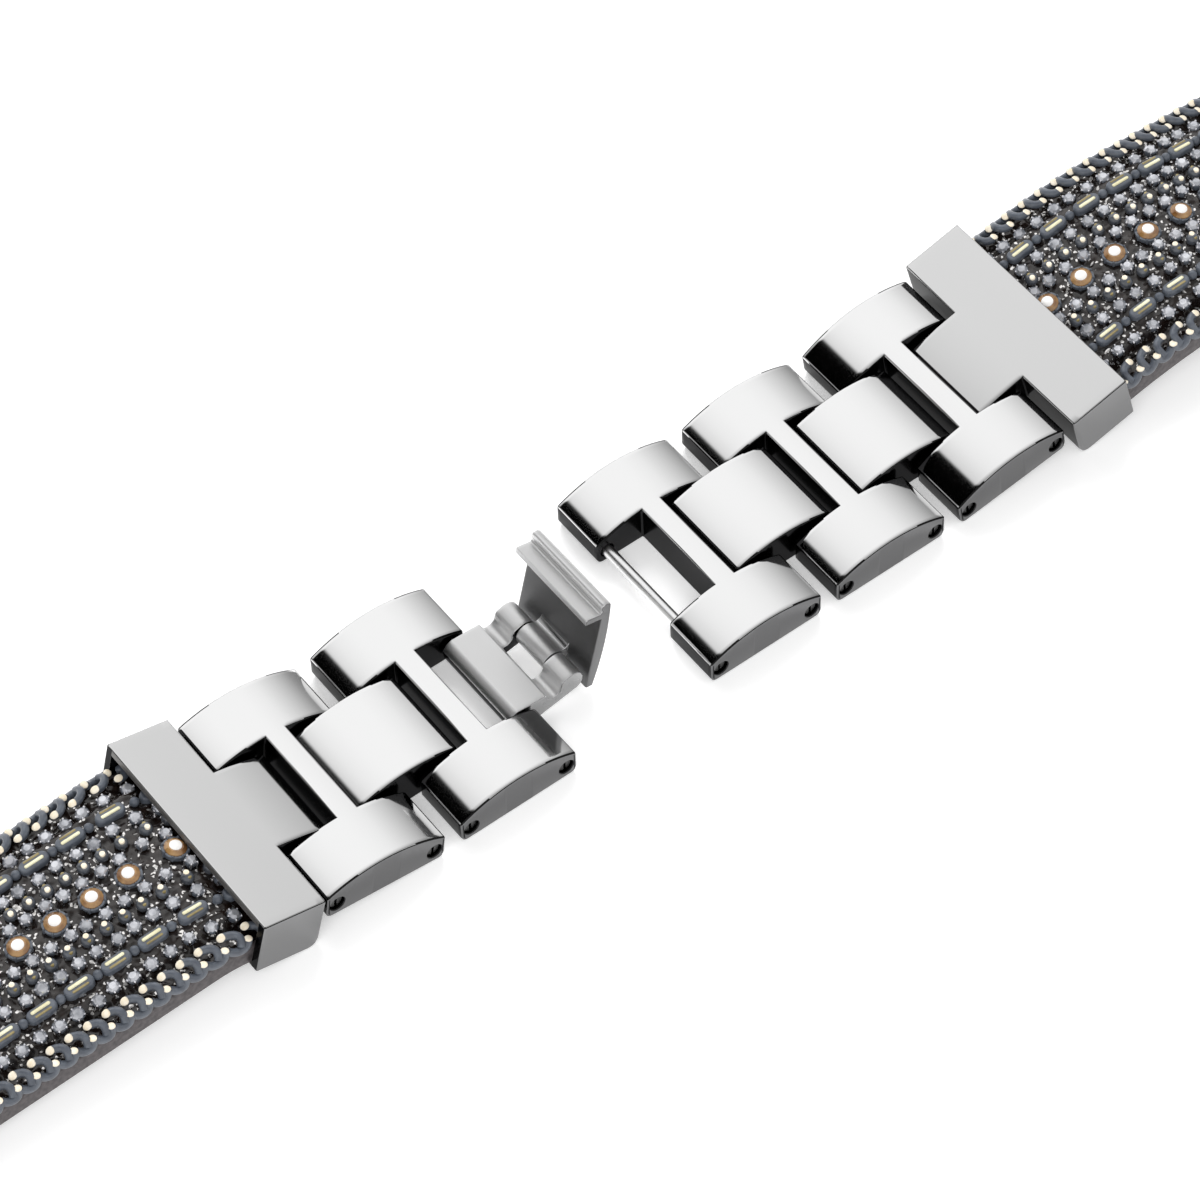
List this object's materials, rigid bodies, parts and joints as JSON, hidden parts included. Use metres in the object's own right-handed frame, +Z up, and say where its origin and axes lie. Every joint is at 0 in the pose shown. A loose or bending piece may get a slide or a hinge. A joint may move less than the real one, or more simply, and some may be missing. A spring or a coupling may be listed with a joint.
{
  "type": "studded watch band",
  "caption": "Polished steel watch bracelet with an open fold-over clasp, end caps and stone-studded straps for spring-bar lugs.",
  "frame": {"origin": "middle of the open band's length and width, on the surface that it lies on", "axes": "+X along the band from the clasp's half to the half that hooks in, +Y across the band, +Z up"},
  "size_m": [0.1688, 0.0194, 0.0085],
  "materials": {
    "polished_steel": "mirror polish",
    "satin_steel": "satin",
    "pin_steel": "drawn wire",
    "strap_rubber": "smooth matt side faces",
    "stone_bed": "clear-coated dark resin with glitter",
    "grey_chain": "grey enamel with pale gold cut ends",
    "crystal": "faceted grey crystal",
    "grey_bead": "glossy grey with a pale dot",
    "pale_baguette": "step-cut, pale yellow",
    "brown_stone": "faceted, brown and gold with a white centre"
  },
  "bodies": {
    "link_2": {"h_link_2": "polished_steel", "link_2_pins": "pin_steel"},
    "centre_link_1": {"centre_link_1": "polished_steel"},
    "link_1": {"h_link_1": "polished_steel", "link_1_pins": "pin_steel"},
    "clasp_base": {"clasp_base": "satin_steel", "clasp_hinge_pin": "polished_steel"},
    "clasp_cover": {"clasp_cover": "satin_steel"},
    "link_3": {"h_link_3": "polished_steel", "link_3_pin": "pin_steel", "catch_bar": "pin_steel"},
    "centre_link_2": {"centre_link_2": "polished_steel"},
    "link_4": {"h_link_4": "polished_steel", "link_4_pins": "pin_steel"},
    "centre_link_3": {"centre_link_3": "polished_steel"},
    "link_5": {"h_link_5": "polished_steel", "link_5_pins": "pin_steel"},
    "left_strap": {"left_end_cap": "polished_steel", "left_strap": "strap_rubber", "left_stone_bed": "stone_bed", "left_edge_chains": "grey_chain", "left_crystals": "crystal", "left_beads": "grey_bead", "left_baguettes": "pale_baguette", "left_round_stones": "brown_stone", "left_settings": "grey_chain", "left_bar_tube": "satin_steel", "left_bar_fixed_tip": "satin_steel", "left_bar_spring": "satin_steel"},
    "left_sliding_tip": {"left_bar_sliding_tip": "satin_steel"},
    "right_strap": {"right_end_cap": "polished_steel", "right_strap": "strap_rubber", "right_stone_bed": "stone_bed", "right_edge_chains": "grey_chain", "right_crystals": "crystal", "right_beads": "grey_bead", "right_baguettes": "pale_baguette", "right_round_stones": "brown_stone", "right_settings": "grey_chain", "right_bar_tube": "satin_steel", "right_bar_fixed_tip": "satin_steel", "right_bar_spring": "satin_steel"},
    "right_sliding_tip": {"right_bar_sliding_tip": "satin_steel"}
  },
  "joints": [
    {"name": "centre_link_1_hinge", "type": "hinge", "parent": "link_2", "child": "centre_link_1", "pos_m": [-0.02041, 0, 0.00112], "axis": [0, -1, 0], "range_deg": [-15, 28]},
    {"name": "link_1_hinge", "type": "hinge", "parent": "centre_link_1", "child": "link_1", "pos_m": [-0.02356, 0, 0.00112], "axis": [0, -1, 0], "range_deg": [-15, 28]},
    {"name": "left_cap_hinge", "type": "hinge", "parent": "link_1", "child": "left_strap", "pos_m": [-0.03157, 0, 0.00222], "axis": [0, -1, 0], "range_deg": [-15, 28]},
    {"name": "clasp_base_hinge", "type": "hinge", "parent": "link_2", "child": "clasp_base", "pos_m": [-0.01233, 0, 0.00112], "axis": [0, -1, 0], "range_deg": [-14, 15]},
    {"name": "clasp_cover_hinge", "type": "hinge", "parent": "clasp_base", "child": "clasp_cover", "pos_m": [-0.00793, 0, 0.00178], "axis": [0, 1, 0], "range_deg": [-109, 10]},
    {"name": "clasp_travel", "type": "slide", "parent": "link_2", "child": "link_3", "axis": [1, 0, 0], "range_m": [-0.004, 0.025]},
    {"name": "centre_link_2_hinge", "type": "hinge", "parent": "link_3", "child": "centre_link_2", "pos_m": [0.00927, 0, 0.00112], "axis": [0, 1, 0], "range_deg": [-15, 28]},
    {"name": "link_4_hinge", "type": "hinge", "parent": "centre_link_2", "child": "link_4", "pos_m": [0.01242, 0, 0.00112], "axis": [0, 1, 0], "range_deg": [-15, 28]},
    {"name": "centre_link_3_hinge", "type": "hinge", "parent": "link_4", "child": "centre_link_3", "pos_m": [0.0205, 0, 0.00112], "axis": [0, 1, 0], "range_deg": [-15, 28]},
    {"name": "link_5_hinge", "type": "hinge", "parent": "centre_link_3", "child": "link_5", "pos_m": [0.02365, 0, 0.00112], "axis": [0, 1, 0], "range_deg": [-15, 28]},
    {"name": "right_cap_hinge", "type": "hinge", "parent": "link_5", "child": "right_strap", "pos_m": [0.03165, 0, 0.00227], "axis": [0, 1, 0], "range_deg": [-15, 28]},
    {"name": "left_tip_slide", "type": "slide", "parent": "left_strap", "child": "left_sliding_tip", "axis": [0, 1, 0], "range_m": [0, 0.0009], "stiffness_N_per_m": 50, "springref_m": -0.002},
    {"name": "right_tip_slide", "type": "slide", "parent": "right_strap", "child": "right_sliding_tip", "axis": [0, 1, 0], "range_m": [0, 0.0009], "stiffness_N_per_m": 50, "springref_m": -0.002}
  ]
}
